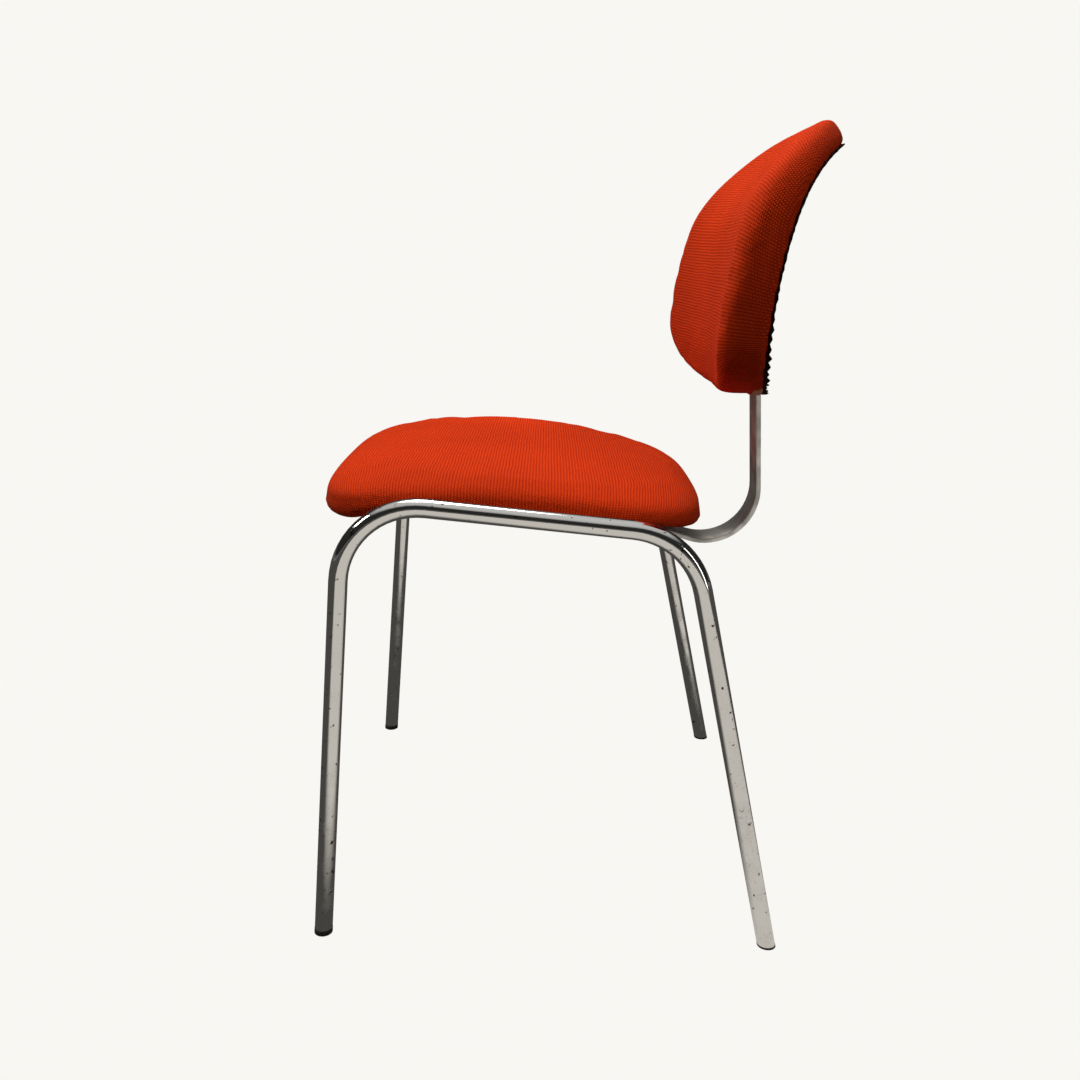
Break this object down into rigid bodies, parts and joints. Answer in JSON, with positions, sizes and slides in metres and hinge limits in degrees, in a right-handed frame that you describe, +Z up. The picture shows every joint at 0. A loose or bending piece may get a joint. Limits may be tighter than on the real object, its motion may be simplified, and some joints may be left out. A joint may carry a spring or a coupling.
{
  "type": "stacking chair",
  "caption": "Armless stacking side chair: bent tube side frames, padded seat between the rails and a padded backrest on a flat spring bar.",
  "frame": {"origin": "middle of the chair's bounding box, on the floor under the glides", "axes": "+Z up, the chair faces -Y, +X to the sitter's left"},
  "size_m": [0.4884, 0.5108, 0.8053],
  "materials": {
    "chromed_tube": "worn chrome with fine pitting on the legs",
    "glide_rubber": "matt black",
    "bare_steel": "plain welded steel",
    "spring_steel": "satin flat spring steel",
    "plywood": "moulded plywood",
    "foam": "aged foam",
    "wool_knit": "ribbed orange-red wool",
    "zinc_fastener": "zinc plated"
  },
  "bodies": {
    "frame": {"side_frame_left": "chromed_tube", "side_frame_right": "chromed_tube", "glide_front_left": "glide_rubber", "glide_front_right": "glide_rubber", "glide_rear_left": "glide_rubber", "glide_rear_right": "glide_rubber", "crossbar_front": "bare_steel", "crossbar_rear": "bare_steel", "bar_riser": "bare_steel", "back_bar": "spring_steel", "seat_shell": "plywood", "seat_foam": "foam", "seat_cover": "wool_knit", "seat_screw_front_left": "zinc_fastener", "seat_screw_front_right": "zinc_fastener", "seat_screw_rear_left": "zinc_fastener", "seat_screw_rear_right": "zinc_fastener", "seat_nut_front_left": "zinc_fastener", "seat_nut_front_right": "zinc_fastener", "seat_nut_rear_left": "zinc_fastener", "seat_nut_rear_right": "zinc_fastener", "seat_washer_front_left": "glide_rubber", "seat_washer_front_right": "glide_rubber", "seat_washer_rear_left": "glide_rubber", "seat_washer_rear_right": "glide_rubber", "bar_bolt_front_left": "zinc_fastener", "bar_bolt_front_right": "zinc_fastener", "bar_bolt_rear_left": "zinc_fastener", "bar_bolt_rear_right": "zinc_fastener", "bar_nut_rear_left": "zinc_fastener", "bar_nut_rear_right": "zinc_fastener"},
    "back": {"back_shell": "plywood", "back_foam": "foam", "back_cover": "wool_knit", "back_screw_lower": "zinc_fastener", "back_screw_upper": "zinc_fastener", "back_nut_lower": "zinc_fastener", "back_nut_upper": "zinc_fastener"}
  },
  "joints": [
    {"name": "back_flex", "type": "hinge", "parent": "frame", "child": "back", "pos_m": [0, 0.184, 0.379], "axis": [-1, 0, 0], "range_deg": [0, 6], "stiffness_Nm_per_rad": 320, "deforming": ["back_bar"]}
  ]
}
